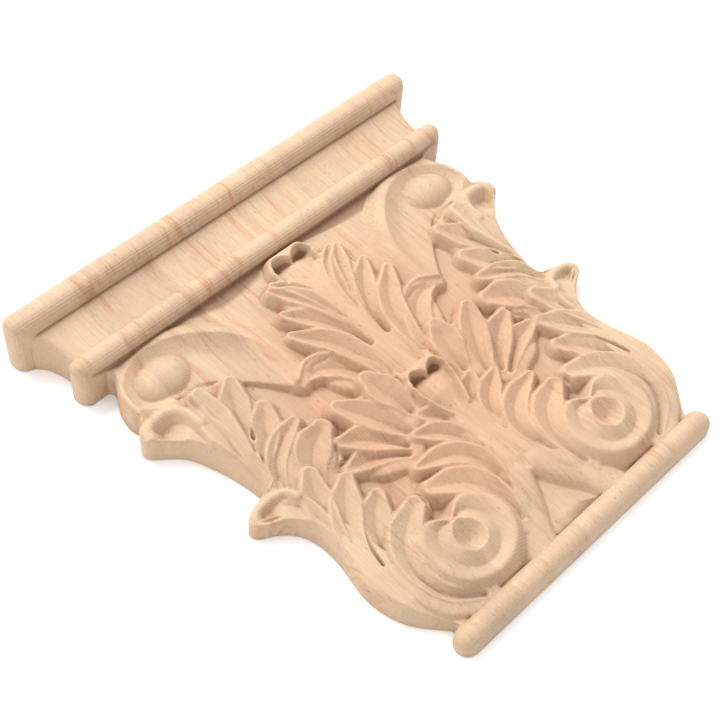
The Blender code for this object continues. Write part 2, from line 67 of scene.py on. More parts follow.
carving = {
    "topBead": 0.0120,  # height of each band of the abacus, along Y
    "cove": 0.0165,
    "lowerBead": 0.0100,
    "footBead": 0.0095,
    "footHalfLength": 0.0675,
    "return": 0.0110,  # how far the cove's ends stand in from the top bead's
    "lowerReturn": 0.0070,  # the same for the lower bead
    "endRound": 0.0030,  # rounding of the abacus at its ends
    "beadFall": (0.21, 0.14),  # drop of the top bead's lower and upper side, shares of the depth
    "beadCurve": 2.6,  # the top bead is a little squarer than round
    "coveLevel": 0.63,  # lowest level of the cove and its rise to the top bead, shares of the depth
    "coveRise": 0.16,
    "lowerLevel": 0.60,  # the same for the lower bead's sides and its middle
    "lowerRise": 0.22,
    "footWall": 0.0034,  # upright part of the foot bead's side
    "groundTop": 0.0128,  # flat ground behind the leaves, under the abacus
    "groundFoot": 0.0030,  # the same ground at the foot
    "cutSteep": 2.0,  # fall of a carved wall for each unit sideways
    # Outline of the body below the abacus, one side, top to bottom
    "bodyEdge": [
        (83.0, 62.0), (81.4, 59.5), (82.8, 56.0), (85.6, 51.0), (86.9, 46.5), (87.0, 42.0), (85.6, 38.6),
        (87.6, 37.0), (90.4, 34.2), (91.2, 31.4), (89.6, 28.6), (85.4, 25.2), (81.0, 20.8), (78.0, 14.5),
        (75.6, 7.0), (74.1, 0.0), (73.3, -6.0), (73.2, -11.4), (76.4, -12.2), (81.6, -13.4), (85.2, -15.6),
        (85.9, -18.2), (84.0, -20.8), (79.4, -23.2), (75.2, -27.0), (72.4, -32.0), (71.3, -38.0),
        (71.6, -45.0), (73.2, -53.0), (74.6, -61.0), (74.0, -69.0), (71.4, -77.0), (67.2, -83.0),
        (62.8, -88.2), (61.9, -90.3),
    ],
    "notchEase": 0.0010,  # the notches between leaf tips are rounded over this much, up and down
    # Height of that edge above the back, and of the leaves' crests, down the work
    "edgeRise": [(62, 46), (52, 42), (42, 40), (36, 50), (31, 52), (27, 44), (20, 32), (8, 24), (-6, 18),
                 (-11, 20), (-14, 28), (-19, 30), (-24, 25), (-34, 20), (-50, 24), (-62, 28), (-76, 24),
                 (-84, 16), (-90, 12)],
    "crest": [(64, 66), (50, 71), (38, 70), (25, 67), (10, 63), (-4, 62), (-15, 57), (-25, 51), (-40, 50),
             (-60, 52), (-75, 50), (-90, 38)],
    "edgeSwell": 0.30,  # the body swells by this share of the depth inside its edge,
    "edgeReach": 0.0036,  # over about this width,
    "edgeClimb": 0.4,  # and climbs at this slope beyond it
    "outerFall": 0.35,  # the crests drop away outside this share of the half width
    "outerStart": 66,
    # Leaflets, each from root to tip: points, half widths on the way, lift of the crest
    "leaflets": {
        "crown": [
            ([(3.6, 26), (6.4, 36.5), (9.6, 43.6), (14.6, 48.6)], (1.2, 2.2, 2.7, 2.4, 1.1), 6),
            ([(4.2, 20), (6.8, 30.8), (11.2, 39), (17, 46.7)], (1.2, 2.6, 3.6, 3.4, 1.3), 7),
            ([(4.4, 7), (7, 17.8), (12.6, 27.4), (20.4, 35.9)], (1.2, 2.8, 4, 3.7, 1.4), 3),
            ([(9, -7), (10.6, 4.5), (14.8, 15.6), (24.7, 26.8)], (2, 3.8, 4.6, 4, 1.6), 4),
            ([(10.6, -13), (14.2, -1.5), (20, 7), (26.6, 11), (34.2, 11.2)], (1.8, 4.2, 5.2, 4.6, 1.3), -2),
        ],
        "fan": [
            ([(14, -23), (15, -16.5), (16.8, -10.6), (18.1, -5)], (2.2, 4.2, 5.6, 5.4, 3.1), 6),
            ([(20, -30), (25, -19.8), (29.6, -12.3), (33.9, -6.2)], (1.6, 3.9, 5.1, 4.8, 2.5), 3),
            ([(25, -32), (29.5, -26), (35.5, -20.8), (42.5, -17.1)], (1.6, 3.8, 4.8, 4.4, 2.1), 2),
            ([(27, -34.5), (32, -30.8), (39, -27.5), (47.3, -26.3)], (1.6, 3, 3.9, 3.9, 1.9), 0),
        ],
        "collar": [
            ([(4.6, -36), (7.6, -31.4), (12.8, -27.4)], (1.8, 3.4, 3.8, 2.0), 0),
            ([(6.5, -50), (8.2, -42.6), (13, -36.4), (20.7, -31.7)], (1.4, 2.8, 4, 3.7, 1.3), 0),
            ([(12.6, -69), (9.8, -59), (12, -50.4), (18.6, -44.5), (29.4, -41.4)],
             (1, 2.6, 3.8, 4.4, 3.7, 1.3), -1),
            ([(17, -79), (16.4, -69), (19, -60), (24, -54.6), (32.2, -50.6)], (1.2, 3, 4.4, 5.2, 5, 2.8), 0),
        ],
        "upper side": [
            ([(73.3, -8), (73.5, 8), (77.2, 20.5), (84.1, 29.9)], (2, 4.2, 6.2, 8.2, 6.2), -1),
            ([(72, -12), (71.2, 3), (69.4, 15), (67, 29.6)], (1.2, 2.8, 4.4, 5.2, 2.7), 4),
            ([(69.8, -2), (65.6, 9.7), (60.4, 18.4), (54.6, 27.1)], (1.2, 3, 4.8, 5.2, 2.4), -1),
            ([(66.5, -5), (60.8, 1.8), (56.6, 7), (52.8, 11.8)], (1.4, 3.2, 4.6, 4.6, 2.7), -2),
            ([(70, -17), (65.5, -8.4), (59, -3), (49.2, 0.5)], (1.4, 2.8, 3.6, 3.6, 1.9), -1),
            ([(58, -22), (55.4, -15.8), (50.4, -11.2), (43.9, -8.2)], (2.2, 4.6, 6, 5.6, 3.2), 0),
        ],
        "lower side": [
            ([(71, -47), (70.6, -34), (72.8, -25), (80.5, -18.8)], (1.8, 3.4, 5.2, 6, 4.1), 0),
            ([(68.8, -49), (67.2, -36), (64, -26.6), (59.6, -18.7)], (1.2, 2.8, 4.6, 5, 2.7), 0),
            ([(68.4, -57), (64.9, -43.6), (58.6, -35), (51.6, -28)], (1.2, 3.4, 5, 5.2, 2.4), 0),
            ([(63, -60), (58.8, -51), (53.6, -44.3), (47.9, -39.5)], (1.4, 3.4, 4.8, 4.8, 2.4), -2),
            ([(47, -88.8), (56.4, -81.6), (59.8, -71.5), (56.6, -61.6), (50.2, -55.4), (41.7, -51.2)],
             (1.4, 2.6, 3.2, 4.6, 5.4, 3.1), 0),
        ],
    },
    "scoop": 11,  # depth of a leaflet's hollow below its crest, share of the depth
    "shallowTip": 0.5,  # the hollow loses this share of its depth at the tip
    "vein": 2.6,  # depth of the line down a leaflet's middle, share of the depth
    "veinWidth": 0.0006,
    "rootDrop": 9,  # how far a leaflet's root sinks below its crest
    "web": 4,  # the blade between leaflets lies this far below their crests,
    "webDrop": 16,  # and falls away towards the tips
    "webReach": 4.2,
    "rimRound": 0.0004,  # softness of carved edges
    "fullness": 1.1,  # leaflets are this much wider than laid out, so that neighbours touch
    # Upper volute: crest from its tail round the boss, and the boss
    "horn": [(35, 11), (33.6, 21), (35, 32), (39.6, 42), (47.6, 51), (56.6, 57.2), (66, 59.8), (74, 58.8),
            (80.4, 54.6), (83.6, 48), (83.4, 42), (79.5, 37.8), (73, 36.2)],
    "hornCrest": (60, 67, 69, 64, 56, 51, 52),  # heights along it
    "channel": (54, 38),  # level of the channel inside it, at 36 and 80 across
    "groundInside": 42,  # the ground below the channel's end is no higher
    "hornRim": 8,  # width of the slope into the channel
    "hornBack": 0.5,  # fall of its outer side, beyond a nearly flat rim
    "rimFlat": 2.6,
    "hornEnd": [(36.5, 8.6), (40.5, 15.1), (46, 22.4), (51, 28), (57, 34), (64, 37), (76, 36)],
    "bossAt": (68.6, 47.4),
    "bossRadii": (12.0, 9.4),
    "bossFoot": 35,
    "bossRise": 29,
    # Lower volute, about its own centre
    "voluteAt": (36.8, -71.9),
    "eye": 6.0,
    "eyeGroove": 10.8,
    "rim": 14.9,
    "rimSpread": 2.1,  # the rim is wider than it is tall
    "cusp": 7.8,  # where rim, groove and eye meet, at the top
    "cuspWidth": 0.40,
    "eyeHollow": 20,  # depths below the rim's crest, shares of the depth
    "grooveDepth": 11,
    # Stems: points, half widths on the way, heights at root and end, depth of their flutes
    "stems": [
        ([(0, -17), (0, 8), (0, 30), (0, 49)], (4.6, 3.8, 2.8, 2.4), (55, 68), 0),
        ([(0, -61), (0, -52), (0, -40), (0, -24)], (7.6, 8.2, 6.6, 5.0), (42, 50), 3),
        ([(5.6, -65), (10.6, -75), (15.4, -82.6), (20.0, -93)], (5.8, 5.6, 5.8, 6.2), (41, 26), 0),
    ],
    "stemFall": 1.5,
    "sidePad": [(64, -88), (67, -74), (67.5, -60), (69, -46), (70, -34), (73, -20), (73, -4), (76, 10),
                (80, 20)],
    "sidePadHeights": (22, 40, 42, 40, 38, 38, 37, 37, 37),
    "sidePadHalfWidth": 6.5,
    # Raised lips: points, half width, heights at both ends
    "lips": [
        ([(19.5, 13.2), (24.5, 16.0), (30.0, 15.9), (36.2, 12.0)], 1.5, (62, 66)),
        ([(72.4, 22.0), (73.2, 29.0), (76.6, 33.8), (82.0, 34.8), (87.2, 33.4), (88.6, 29.6)], 2.5, (60, 52)),
        ([(88.0, 28.6), (82.8, 23.6), (78.2, 17.8), (74.8, 8.0), (72.6, -4.0)], 0.9, (47, 38)),
        ([(67.8, -21.6), (69.8, -17.2), (75.0, -15.2), (80.6, -15.4), (83.2, -17.4)], 2.1, (53, 37)),
        ([(82.6, -19.0), (77.6, -21.4), (73.8, -25.6), (70.8, -33.0), (69.4, -43.0)], 0.8, (37, 39)),
    ],
    # Hollows under those lips: place, radius and floor
    "dishes": [
        ((83.4, 29.2), 4.4, 33),
        ((78.8, -18.2), 3.2, 29),
    ],
    "dishSlope": 0.5,
    # Rolled-over leaf tips: a cap with a round curl at each end, hollow underneath, and an arm
    # that runs down each edge of the leaf
    "rolls": [
        dict(ear=(6.0, 52.4), earRadius=4.5, bar=56.6, barHalf=3.0, height=76, holeRadius=2.7, floor=44,
             middle=60, arm=[(9.6, 52.2), (9.4, 47.6), (7.0, 42.0), (4.0, 36.0)],
             armHeights=(72, 69, 66, 60), leaf=(66, 66, 62)),
        dict(ear=(5.2, -18.6), earRadius=4.3, bar=-14.2, barHalf=3.4, height=65, holeRadius=2.4, floor=36,
             middle=50, arm=[(8.4, -18.8), (8.0, -23.4), (6.4, -28.6), (4.4, -34.0)],
             armHeights=(61, 57, 53, 48), leaf=(56, 55, 46)),
    ],
    "armHalfWidths": (1.1, 1.3, 1.3),
    "archRise": 3.6,  # rise of the hollow's arch at each curl
    "hollowRise": 0.85,  # its floor's slope towards the leaf
    # Deep cuts between leaves: points, half width, floor height
    "cuts": [
        ([(60.8, -46.6), (63.6, -52.4), (65.4, -59.4)], 0.35, 33),
        ([(62.0, 8.2), (63.8, 5.0)], 0.3, 44),
        ([(37.6, -49.0), (37.8, -54.6)], 0.4, 34),
        ([(36.6, 9.6), (31.8, 11.4), (26.6, 13.4), (21.4, 12.2)], 0.3, 52),
        ([(45.0, -16.0), (47.0, -19.8), (51.0, -22.4)], 0.3, 38),
        ([(27.6, -35.5), (28.6, -38.0)], 0.7, 38),
    ],
}

coveTop = halfY - carving["topBead"]
lowerBeadTop = coveTop - carving["cove"]
abacusFoot = lowerBeadTop - carving["lowerBead"]
footTop = -halfY + carving["footBead"]


# Points in metres on a smooth curve through the given hundredths, with its length share
def smoothCurve(points, perSpan=10):
    ends = np.array([(x * perX, y * perY) for x, y in points])
    guides = np.vstack([2 * ends[0] - ends[1], ends, 2 * ends[-1] - ends[-2]])
    out = []
    for k in range(1, len(guides) - 2):
        a, b, c, d = guides[k - 1:k + 3]
        for s in np.arange(perSpan) / perSpan:
            out.append(0.5 * (2 * b + (c - a) * s + (2 * a - 5 * b + 4 * c - d) * s ** 2
                              + (3 * b - a - 3 * c + d) * s ** 3))
    out.append(ends[-1])
    out = np.array(out)
    steps = np.hypot(*np.diff(out, axis=0).T)
    share = np.concatenate([[0], np.cumsum(steps)]) / steps.sum()
    return out, share


# For each place: distance from the curve, +1 or -1 for its side, and share of the length
def beside(x, y, curve, share):
    best = np.full(x.shape, np.inf)
    side = np.ones(x.shape)
    along = np.zeros(x.shape)
    for k in range(len(curve) - 1):
        (ax, ay), (bx, by) = curve[k], curve[k + 1]
        dx, dy = bx - ax, by - ay
        s = np.clip(((x - ax) * dx + (y - ay) * dy) / (dx * dx + dy * dy), 0, 1)
        gap = np.hypot(x - ax - s * dx, y - ay - s * dy)
        nearer = gap < best
        best = np.where(nearer, gap, best)
        side = np.where(nearer, np.sign(dx * (y - ay) - dy * (x - ax)), side)
        along = np.where(nearer, share[k] + s * (share[k + 1] - share[k]), along)
    return best, side, along


# Read a (place, height) list down the work; result in metres
def table(rows, y):
    places = [row[0] * perY for row in reversed(rows)]
    heights = [row[1] * perZ for row in reversed(rows)]
    return np.interp(y, places, heights)


# Spread a few values evenly over a length and read them at each share of it
def spread(values, share):
    return np.interp(share, np.linspace(0, 1, len(values)), values)


# Half width of the whole work at each height along Y, in metres
def edgeOf(y):
    y = np.asarray(y, dtype=float)
    curve, share = smoothCurve(carving["bodyEdge"], 6)
    down = np.maximum.accumulate(-curve[:, 1])
    shifts = np.linspace(-carving["notchEase"], carving["notchEase"], 9)
    body = sum(np.interp(shift - y, down, curve[:, 0]) for shift in shifts) / len(shifts)

    top = np.clip((y - coveTop) / carving["topBead"], 0, 1)
    curl = np.abs(2 * top - 1.1).clip(0, 1) ** carving["beadCurve"]
    bead = halfX - 0.45 * carving["topBead"] * (1 - np.sqrt(1 - curl))
    coveShare = np.clip((y - lowerBeadTop) / carving["cove"], 0, 1)
    flare = 1 - np.sqrt(1 - (0.96 * coveShare) ** 2)
    cove = halfX - carving["return"] + (carving["return"] - 0.003) * flare
    low = np.clip((y - abacusFoot) / carving["lowerBead"], 0, 1)
    nose = 1 - np.sqrt(1 - (0.96 * (2 * low - 1)) ** 2)
    lower = halfX - carving["lowerReturn"] - 0.42 * carving["lowerBead"] * nose

    radius = carving["footBead"] / 2
    foot = np.clip((y + halfY - radius) / radius, -1, 1)
    footEnd = carving["footHalfLength"] - radius * (1 - np.sqrt(1 - foot ** 2))

    width = np.where(y >= coveTop, bead, body)
    width = np.where((y < coveTop) & (y >= lowerBeadTop), cove, width)
    width = np.where((y < lowerBeadTop) & (y >= abacusFoot), lower, width)
    return np.where(y < footTop, footEnd, width)


# Section of the moulding: top bead, cove and lower bead
def abacusHeight(y):
    top = np.clip((y - coveTop) / carving["topBead"], 0, 1) - 0.5
    bead = depth - np.where(top < 0, *carving["beadFall"]) * depth * np.abs(2 * top) ** carving["beadCurve"]
    coveShare = np.clip((y - lowerBeadTop) / carving["cove"], 0, 1)
    flare = 1 - np.sqrt(1 - (0.93 * coveShare) ** 2)
    cove = carving["coveLevel"] * depth + carving["coveRise"] * depth * flare
    low = np.clip((y - abacusFoot) / carving["lowerBead"], 0, 1)
    swell = np.sqrt(1 - np.clip(np.abs(2 * low - 0.98), 0, 1) ** 2)
    lower = carving["lowerLevel"] * depth + carving["lowerRise"] * depth * swell
    height = np.where(y >= coveTop, bead, cove)
    return np.where(y < lowerBeadTop, lower, height)


# The foot bead: half round on a short upright wall, with ball ends
def footHeight(x, y):
    radius = carving["footBead"] / 2
    out = np.maximum(np.abs(x) - (carving["footHalfLength"] - radius), 0) / radius
    off = (y + halfY - radius) / radius
    return carving["footWall"] + radius * np.sqrt(np.clip(1 - out ** 2 - off ** 2, 0, 1))


# Swell of the carving: the level that the leaves' crests reach
def crestAt(x, y):
    out = np.maximum(np.abs(x) - carving["outerStart"] * perX, 0)
    return table(carving["crest"], y) - carving["outerFall"] * out


# Zero inside an edge and the distance outside it, eased over the edge's softness
def soft(gap):
    return carving["rimRound"] * np.logaddexp(0, gap / carving["rimRound"])


# A scooped blade with raised edges, the web that joins it to its neighbours, and its extent
def leaflet(x, y, points, halfWidths, lift):
    curve, share = smoothCurve(points)
    gap, side, along = beside(x, y, curve, share)
    half = spread(halfWidths, along) * perX * carving["fullness"]
    crest = crestAt(x, y) + lift * perZ - carving["rootDrop"] * perZ * (1 - along) ** 2
    scoop = carving["scoop"] * perZ * (1 - carving["shallowTip"] * along ** 6)
    across = np.minimum(gap / (0.95 * half), 1)
    vein = carving["vein"] * perZ * (1 - along ** 4) * np.exp(-gap / carving["veinWidth"])
    blade = crest - scoop * (1 - across ** 1.4) - vein
    blade = blade - carving["cutSteep"] * soft(gap - half)
    reach = half + carving["webReach"] * perX * (1 - along ** 3)
    sunk = (carving["web"] + carving["webDrop"] * along ** 4) * perZ
    web = crest - sunk - carving["cutSteep"] * soft(gap - reach)
    return blade, web, gap < half


# The long scroll: a crest that curls round the boss, and the channel sunk inside it
def horn(x, y, height):
    curve, share = smoothCurve(carving["horn"])
    gap, side, along = beside(x, y, curve, share)
    endGap, endSide, endAlong = beside(x, y, *smoothCurve(carving["hornEnd"]))
    crest = spread(carving["hornCrest"], along) * perZ
    slope = np.clip(gap / (carving["hornRim"] * perX), 0, 1)
    level = np.interp(x, (36 * perX, 80 * perX), carving["channel"]) * perZ
    channel = level + (crest - level) * (1 - slope) ** 1.8
    beyond = channel - carving["cutSteep"] * endGap
    fall = np.where(along <= 0, carving["cutSteep"], carving["hornBack"])
    outside = crest - 0.12 * gap - fall * soft(gap - carving["rimFlat"] * perX)
    inner = side < 0
    low = np.maximum(np.minimum(height, carving["groundInside"] * perZ), beyond)
    height = np.where(inner, low, np.maximum(height, outside))
    return np.where(inner & (endSide > 0), channel, height)


def boss(x, y):
    off = np.hypot((x - carving["bossAt"][0] * perX) / (carving["bossRadii"][0] * perX),
                   (y - carving["bossAt"][1] * perY) / (carving["bossRadii"][1] * perY))
    dome = (carving["bossFoot"] + carving["bossRise"] * np.clip(1 - off ** 2, 0, 1) ** 0.6) * perZ
    return np.where(off < 1, dome, -1)


# Heart-shaped lower scroll: a rim, a groove, and a hollow eye that meets both at the cusp
def volute(x, y):
    dx = (x - carving["voluteAt"][0] * perX) / perX
    dy = (y - carving["voluteAt"][1] * perY) / perY
    radius = np.hypot(dx, dy)
    turn = np.arctan2(dx, dy)
    pinch = np.exp(-(turn / carving["cuspWidth"]) ** 2)
    rim = (carving["rim"] + carving["rimSpread"] * np.sin(turn) ** 2) * (1 - pinch) + carving["cusp"] * pinch
    groove = carving["eyeGroove"] * (1 - pinch) + carving["cusp"] * pinch
    eye = carving["eye"] * (1 - pinch) + carving["cusp"] * pinch
    crest = table(carving["crest"], y)
    bowl = crest - carving["eyeHollow"] * perZ * (1 - np.clip(radius / eye, 0, 1) ** 1.3)
    fall = crest - carving["grooveDepth"] * perZ * np.clip((radius - eye) / (groove - eye + 0.3), 0, 1)
    climbed = np.clip((radius - groove) / (rim - groove + 0.3), 0, 1) ** 0.7
    climb = crest - carving["grooveDepth"] * perZ * (1 - climbed)
    height = np.where(radius < eye, bowl, np.where(radius < groove, fall, climb))
    return height - carving["cutSteep"] * 0.55 * soft((radius - rim) * perX)


# A rounded bar along a curve, with a ridge down its middle where it is fluted
def stem(x, y, points, halfWidths, heights, flute=0):
    curve, share = smoothCurve(points)
    gap, side, along = beside(x, y, curve, share)
    half = spread(halfWidths, along) * perX
    off = np.minimum(gap / half, 1)
    level = spread(heights, along) * perZ
    fluted = flute * perZ * (1 - np.cos(2 * math.pi * off)) / 2
    return level - 0.07 * depth * off ** 2 - fluted - carving["stemFall"] * soft(gap - half)


def dish(x, y, place, radius, floor):
    gap = np.hypot(x - place[0] * perX, y - place[1] * perY)
    return floor * perZ + carving["dishSlope"] * np.maximum(gap - 0.5 * radius * perX, 0)


def sidePad(x, y):
    curve, share = smoothCurve(carving["sidePad"])
    gap, side, along = beside(x, y, curve, share)
    level = spread(carving["sidePadHeights"], along) * perZ
    return level - carving["cutSteep"] * np.maximum(gap - carving["sidePadHalfWidth"] * perX, 0)


# A leaf tip rolled forward: a cap that is widest at its two curls, and ends at their line
def roll(x, y, spec):
    earX, earY = spec["ear"][0] * perX, spec["ear"][1] * perY
    ear = np.hypot(x - earX, y - earY - 0.2 * spec["earRadius"] * perY) / (spec["earRadius"] * perX)
    bar = np.hypot(np.maximum(x - earX, 0), y - spec["bar"] * perY) / (spec["barHalf"] * perY)
    top = spec["height"] * perZ
    earWall = carving["cutSteep"] * np.maximum(ear - 1, 0) * spec["earRadius"] * perX
    barWall = carving["cutSteep"] * np.maximum(bar - 1, 0) * spec["barHalf"] * perY
    ears = top - 6 * perZ * np.clip(ear, 0, 1) ** 3 - earWall
    bars = top - 8 * perZ * np.clip(bar, 0, 1) ** 3 - barWall
    return np.maximum(ears, bars) - 4 * carving["cutSteep"] * np.maximum(earY - 0.8 * perY - y, 0)


# The hollow under a roll: an arch over each curl, a point between them, open to the leaf
def rollHollow(x, y, spec):
    earX = spec["ear"][0] * perX
    wide = np.where(x < earX, 1.02 * earX, spec["holeRadius"] * perX)
    arch = np.clip(1 - ((x - earX) / wide) ** 2, 0, 1) ** 0.65
    brow = (spec["ear"][1] + carving["archRise"] * arch) * perY
    below = brow - y
    middle = np.clip(1 - x / earX, 0, 1) ** 1.5
    floor = (spec["floor"] + (spec["middle"] - spec["floor"]) * middle) * perZ
    out = np.maximum(x - earX - spec["holeRadius"] * perX, 0)
    walls = 2.4 * carving["cutSteep"] * (np.maximum(-below, 0) + out)
    return floor + carving["hollowRise"] * np.maximum(below, 0) + walls


def cut(x, y, points, half, level):
    gap, side, along = beside(x, y, *smoothCurve(points, 4))
    half = half * perX * np.sin(np.clip(along, 0.02, 0.98) * math.pi) ** 0.7
    return (level + 8 * (1 - along)) * perZ + 1.7 * carving["cutSteep"] * np.maximum(gap - half, 0)


# Places within reach of the points' box, so that each shape is worked out only where it lies
def near(x, y, points, reach):
    across = [px * perX for px, py in points]
    along = [py * perY for px, py in points]
    reach = reach * perX
    return ((x > min(across) - reach) & (x < max(across) + reach)
            & (y > min(along) - reach) & (y < max(along) + reach))


def raiseTo(height, x, y, points, reach, shape, *spec):
    here = near(x, y, points, reach)
    height[here] = np.maximum(height[here], shape(x[here], y[here], *spec))


# Height of the front surface above the back, for arrays of places in metres
def relief(x, y):
    x = np.abs(x)
    height = np.interp(y, [-halfY, 0.45 * halfY], [carving["groundFoot"], carving["groundTop"]])

    here = near(x, y, carving["horn"], 12)
    height[here] = horn(x[here], y[here], height[here])
    raiseTo(height, x, y, [carving["bossAt"]], 16, boss)
    raiseTo(height, x, y, [carving["voluteAt"]], 26, volute)
    raiseTo(height, x, y, carving["sidePad"], 14, sidePad)
    for spec in carving["stems"]:
        raiseTo(height, x, y, spec[0], 16, stem, *spec)
    blades, webs, within = np.zeros(x.shape), np.zeros(x.shape), np.zeros(x.shape, dtype=bool)
    for group in carving["leaflets"].values():
        for spec in group:
            here = near(x, y, spec[0], 16)
            blade, web, inside = leaflet(x[here], y[here], *spec)
            blades[here] = np.maximum(blades[here], blade)
            webs[here] = np.maximum(webs[here], web)
            within[here] |= inside
    height = np.maximum(height, np.where(within, blades, np.maximum(blades, webs)))
    for place, radius, floor in carving["dishes"]:
        here = near(x, y, [place], 3.2 * radius)
        height[here] = np.minimum(height[here], dish(x[here], y[here], place, radius, floor))
    for points, half, heights in carving["lips"]:
        raiseTo(height, x, y, points, 10, stem, points, (half, half), heights)
    for spec in carving["rolls"]:
        earX, earY = spec["ear"]
        leaf = [(0, earY), (0, earY - 6), (0, earY - 14)]
        raiseTo(height, x, y, leaf, 12, stem, leaf, (earX + 2.5, earX + 1.5, 4), spec["leaf"])
        raiseTo(height, x, y, [(0, spec["bar"])], 18, roll, spec)
        here = near(x, y, [(0, spec["ear"][1])], 14)
        height[here] = np.minimum(height[here], rollHollow(x[here], y[here], spec))
        raiseTo(height, x, y, spec["arm"], 8, stem, spec["arm"], carving["armHalfWidths"], spec["armHeights"])
    for spec in carving["cuts"]:
        here = near(x, y, spec[0], 5)
        height[here] = np.minimum(height[here], cut(x[here], y[here], *spec))

    inside = np.maximum(edgeOf(y) - x, 0)
    swell = carving["edgeSwell"] * depth * (1 - np.exp(-inside / carving["edgeReach"]))
    edgeLevel = table(carving["edgeRise"], y) + swell + carving["edgeClimb"] * inside
    height = np.minimum(height, edgeLevel)

    end = np.clip(1 - inside / carving["endRound"], 0, 1)
    abacus = abacusHeight(y) - carving["endRound"] * (1 - np.sqrt(1 - end ** 2))
    height = np.where(y >= abacusFoot, abacus, height)
    foot = footHeight(x, y)
    joined = np.where(y > footTop - 0.4 * carving["footBead"], np.maximum(foot, height), foot)
    return np.where(y < footTop, joined, height)


# Places of the rows along Y: even, with a row on each arris of the mouldings
def rowsAlong(step):
    arrises = [halfY, coveTop, lowerBeadTop, abacusFoot, footTop, -halfY]
    rows = []
    for upper, lower in zip(arrises, arrises[1:]):
        share = np.linspace(0, 1, max(2, round((upper - lower) / step)) + 1)
        rows += list(upper - share * (upper - lower) - np.where(share == 0, 1e-6, 0))
    return np.array(rows)


surface = {
    "step": 0.00042,          # first grid, before flat parts are thinned
    "faces": 190000,
    "core": 0.58,             # the grid is square this far out, then follows the outline
    "coreShare": 0.6,
}


def makeCapital():
    rows = rowsAlong(surface["step"])
    across = 2 * round(halfX / surface["step"])
    form = bmesh.new()
    bmesh.ops.create_grid(form, x_segments=across, y_segments=len(rows) - 1, size=1)
    spots = np.array([vert.co for vert in form.verts])
    y = rows[np.rint((1 - spots[:, 1]) / 2 * (len(rows) - 1)).astype(int)]
    core, share = surface["core"] * halfX, np.abs(spots[:, 0])
    outer = (share - surface["coreShare"]) / (1 - surface["coreShare"])
    x = np.where(outer < 0, share / surface["coreShare"] * core, core + outer * (edgeOf(y) - core))
    x = x * np.sign(spots[:, 0])
    z = relief(x, y)

    # The cutter's round nose softens the carving, not the mouldings
    order = np.lexsort((spots[:, 0], spots[:, 1]))
    cloth = z[order].reshape(len(rows), across + 1)
    eased = cloth.copy()
    eased[1:-1] = (cloth[:-2] + 2 * cloth[1:-1] + cloth[2:]) / 4
    eased[:, 1:-1] = (eased[:, :-2] + 2 * eased[:, 1:-1] + eased[:, 2:]) / 4
    up = y[order].reshape(cloth.shape)
    carved = (up < abacusFoot - surface["step"]) & (up > footTop)
    z[order] = np.where(carved, eased, cloth).ravel()
    for vert, place in zip(form.verts, zip(x, y, z)):
        vert.co = place
    print("relief worked out")

    rim = [edge for edge in form.edges if edge.is_boundary]
    skirt = bmesh.ops.extrude_edge_only(form, edges=rim)["geom"]
    for vert in skirt:
        if isinstance(vert, bmesh.types.BMVert):
            vert.co.z = 0
    bmesh.ops.holes_fill(form, edges=[edge for edge in form.edges if edge.is_boundary], sides=0)
    bmesh.ops.triangulate(form, faces=form.faces)
    bmesh.ops.recalc_face_normals(form, faces=form.faces)
    mesh = bpy.data.meshes.new("carvedCapital")
    form.to_mesh(mesh)
    form.free()

    capital = bpy.data.objects.new("carvedCapital", mesh)
    bpy.context.scene.collection.objects.link(capital)
    thin = capital.modifiers.new("fewerFaces", "DECIMATE")
    thin.ratio = surface["faces"] / len(mesh.polygons)
    thin.use_collapse_triangulate = True
    finished = bpy.data.meshes.new_from_object(capital.evaluated_get(bpy.context.evaluated_depsgraph_get()))
    capital.modifiers.clear()
    capital.data = finished
    bpy.data.meshes.remove(mesh)
    finished.shade_smooth()
    finished.set_sharp_from_angle(angle=math.radians(50))
    print("capital has", len(finished.polygons), "faces")
    return capital


# Wood

wood = {
    "cream": (0.450, 0.315, 0.205),      # outer parts and the abacus
    "pink": (0.435, 0.265, 0.165),       # the carved middle
    "streak": (0.400, 0.205, 0.118),
    "shadeBrown": (0.135, 0.052, 0.022),      # painted shade in the deep cuts
    "staveWidth": 0.034,
    "staveTone": 0.10,
    "poreCell": (0.00062, 0.0036, 0.00062),
    "poreSize": 0.23,
    "poreShare": 0.50,
    "poreDepth": 0.50,
    "toolPitch": 0.00085,                # lines left by the cutter
    "toolDepth": 0.00004,
    "poreBump": 0.00006,
    "roughness": 0.66,
    "specular": 0.35,
    "narrow": 0.0008,                    # reach of the two blurs that find the hollows
    "wide": 0.0042,
    "narrowShade": (0.04, 0.85, 0.0, 0.62),      # how dark the painted shade grows: over which depths in mm, and from what share of the shade brown to what share
    "wideShade": (1.0, 6.0, 0.0, 0.32),          # what share of brown to what share
    "hollowGrid": 0.0005,                # grid and margin of those blurs
    "hollowMargin": 0.012,
    # Patterns in the wood: repeats for each metre along X, Y and Z
    "cloudScale": (22, 14, 22),
    "ringScale": (260, 14, 90),
    "patchScale": (30, 14, 30),
    "fibreScale": (1700, 70, 1700),
    "broadScale": (75, 8, 50),
    "poreGroupScale": (120, 40, 120),
    "pinkAt": -0.012,                    # middle of the pinker part along Y, and its reach
    "pinkReach": (0.066, 0.072),
}
